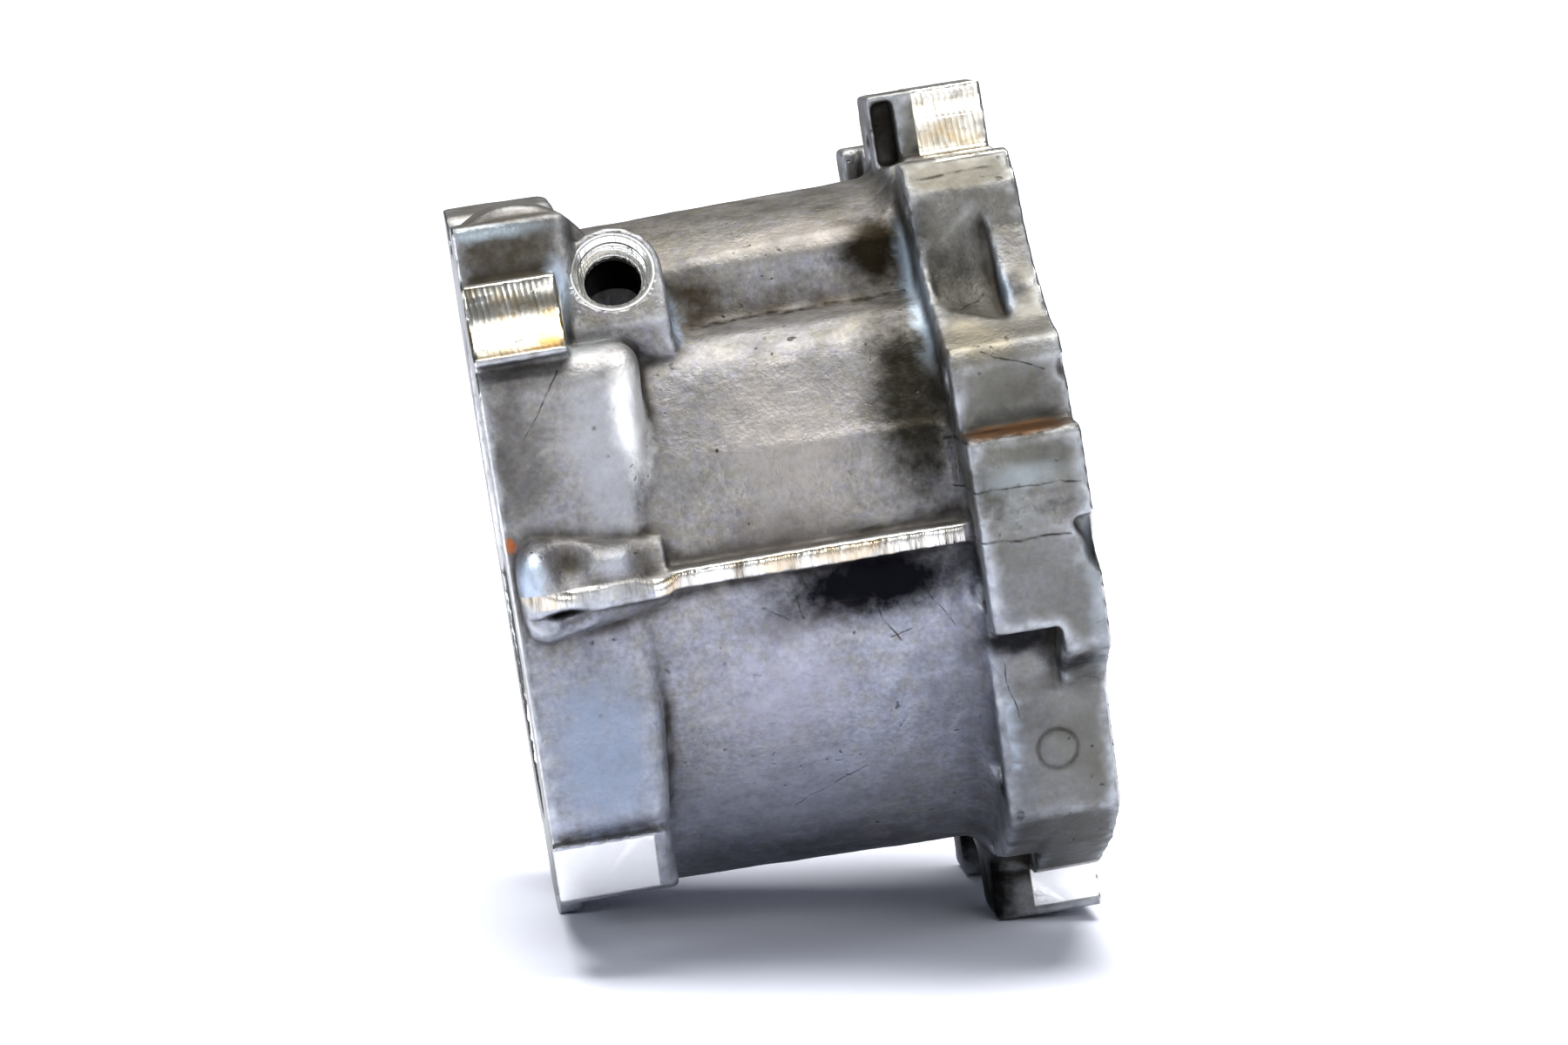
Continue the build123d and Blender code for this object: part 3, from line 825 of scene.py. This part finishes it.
# Milled pads are bright with a gold film of oil and show the lines of the cutter's feed,
# with painted glints and highlights on them and painted shade low on the upper and top pads.
MILLED = (0.56, 0.55, 0.50)
GOLD_FILM = (0.48, 0.37, 0.21)
GLINT = (0.92, 0.92, 0.90)
FLOOR_REFLECTION_PAD = (1.0, 1.0, 0.99)
TOP_PAD_HIGHLIGHT = (1.0, 0.98, 0.90)
FEED_LINE = (0.20, 0.15, 0.08)
SHADED_GOLD = (0.50, 0.33, 0.11)
FEED_RATE = 4.4
feed_x = place(tree, "ShaderNodeMath", {0: own_z, 1: 0.10, 2: own_x},
               operation="MULTIPLY_ADD").outputs[0]
feed_x = plus(feed_x, times(grainy(0.2, 2.0), 0.9))
feed = place(tree, "ShaderNodeMath", {0: times(feed_x, FEED_RATE)}, operation="SINE").outputs[0]
feed_lines = times(feed, spread(grainy(0.6, 2.0, (1, 0.15, 0.15)), 0.35, 0.65, 0.25, 1.0))
film = times(spread(grainy(0.13, 3.0), 0.46, 0.62), 0.6)
pad_colour = over(MILLED, GOLD_FILM, film)
# Painted glints in patches on every pad.
pad_colour = over(pad_colour, GLINT, times(spread(grainy(0.3, 2.0), 0.52, 0.6), 0.5))
# The pads low on the part are painted near white, a painted reflection of the lit floor.
pad_colour = over(pad_colour, FLOOR_REFLECTION_PAD, times(more(lower_pad, foot_pad), 0.9))
# Patches of painted highlight on the top pad.
top_pad_highlights = times(top_pad, spread(grainy(0.4, 2.0), 0.3, 0.5))
pad_colour = over(pad_colour, TOP_PAD_HIGHLIGHT, times(top_pad_highlights, 0.8))
feed_shows = times(spread(feed_lines, 0.1, 0.8), more(more(upper_pad, far_pad), top_pad))
pad_colour = over(pad_colour, FEED_LINE, times(feed_shows, 0.50))
# A deeper gold is painted shade on the lower part of the upper pad and of the top pad.
pad_foot_shade = more(blotted((19, -74, 64), (9, 14, 6)), blotted((127, -30, 92.0), (16, 30, 5)))
pad_colour = over(pad_colour, SHADED_GOLD, times(pad_foot_shade, 0.95))

# Sheared flash is streaked across the ridge, and turned faces carry fine rings.
SHEARED_DARK = (0.20, 0.17, 0.13)
SHEARED_BRIGHT = (0.88, 0.88, 0.85)
SHEARED_GOLD = (0.55, 0.42, 0.26)
TURNED_DARK = (0.46, 0.46, 0.455)
TURNED_PALE = (0.62, 0.62, 0.61)
RING_LINE = (0.34, 0.335, 0.32)
OLD_OIL = (0.16, 0.135, 0.105)
FRESH_CUT = (0.85, 0.84, 0.80)
PORT_BLACK = (0.004, 0.004, 0.004)
RING_RATE = 6.2
fine_tears = times(grainy(0.75, 3.0, (1, 0.10, 0.10), roughness=0.7), 0.6)
broad_tears = times(grainy(0.16, 1.0, (1, 0.2, 0.2)), 0.5)
shear = spread(plus(fine_tears, broad_tears), 0.42, 0.66)
shear_colour = over(SHEARED_DARK, SHEARED_BRIGHT, shear)
shear_gold = times(spread(grainy(0.12, 2.0), 0.5, 0.62), 0.6)
shear_colour = over(shear_colour, SHEARED_GOLD, shear_gold)
ring_run = times(plus(from_axis, times(grainy(0.05, 1.0), 4.0)), RING_RATE)
rings_left = place(tree, "ShaderNodeMath", {0: ring_run}, operation="SINE").outputs[0]
turned_colour = over(TURNED_DARK, TURNED_PALE, spread(grainy(0.08, 3.0), 0.35, 0.65))
turned_colour = over(turned_colour, RING_LINE, times(spread(rings_left, 0.2, 1.0), 0.45))
old_oil = times(spread(grainy(0.05, 4.0), 0.58, 0.72), 0.6)
turned_colour = over(turned_colour, OLD_OIL, old_oil)
turned_colour = over(turned_colour, FRESH_CUT, port_ring)
colour = over(colour, turned_colour, turned)
colour = over(colour, pad_colour, pads)
colour = over(colour, shear_colour, ridges)
# Deep in the port the colour is black: painted shade.
colour = over(colour, PORT_BLACK, port_shade)

# Relief too fine for the mesh: sandy grain, the rough gate, cutter marks, sheared streaks
# and pits. Its heights are in millimetres.
grain = plus(times(grainy(0.9, 4.0, roughness=0.65), 1.0), times(grainy(0.28, 2.0), 1.2))
rough_patch = blotted(GATE, (15, 8, 7), 0.4)
grain = plus(grain, times(times(rough_patch, grainy(0.5, 4.0)), 4.0))
worked_by = place(tree, "ShaderNodeAttribute", attribute_name="worked")
worked_by = place(tree, "ShaderNodeSeparateColor", {0: worked_by.outputs["Color"]})
milled_here, sheared_here, tooled_here = worked_by.outputs
bare = number_math(tree, "SUBTRACT", 1.0, tooled_here)
relief = times(times(grain, bare), 0.16)
relief = plus(relief, times(times(feed_lines, milled_here), 0.020))
relief = plus(relief, times(times(shear, sheared_here), 0.16))
relief = plus(relief, times(pits, -0.20))
bump = place(tree, "ShaderNodeBump", {"Height": relief, "Distance": 0.001, "Strength": 1.0})

CUT_ROUGHNESS = 0.26
SKIN_METALLIC = 0.82
roughness = spread(grainy(0.14, 3.0), 0.3, 0.7, 0.38, 0.58)
roughness = place(tree, "ShaderNodeMix", {
    "Factor": cut, 2: roughness, 3: CUT_ROUGHNESS}).outputs[0]
roughness = plus(roughness, times(deep, 0.25))
metallic = place(tree, "ShaderNodeMix", {"Factor": cut, 2: SKIN_METALLIC, 3: 1.0}).outputs[0]
shader.inputs["Specular Tint"].default_value = (0.3, 0.3, 0.3, 1)
shader.inputs["Specular IOR Level"].default_value = 0.25
links = tree.links
links.new(colour, shader.inputs["Base Color"])
links.new(roughness, shader.inputs["Roughness"])
links.new(metallic, shader.inputs["Metallic"])
links.new(bump.outputs["Normal"], shader.inputs["Normal"])
housing.data.materials.clear()
housing.data.materials.append(cast)
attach(housing, "root")
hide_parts("gearbox_housing")
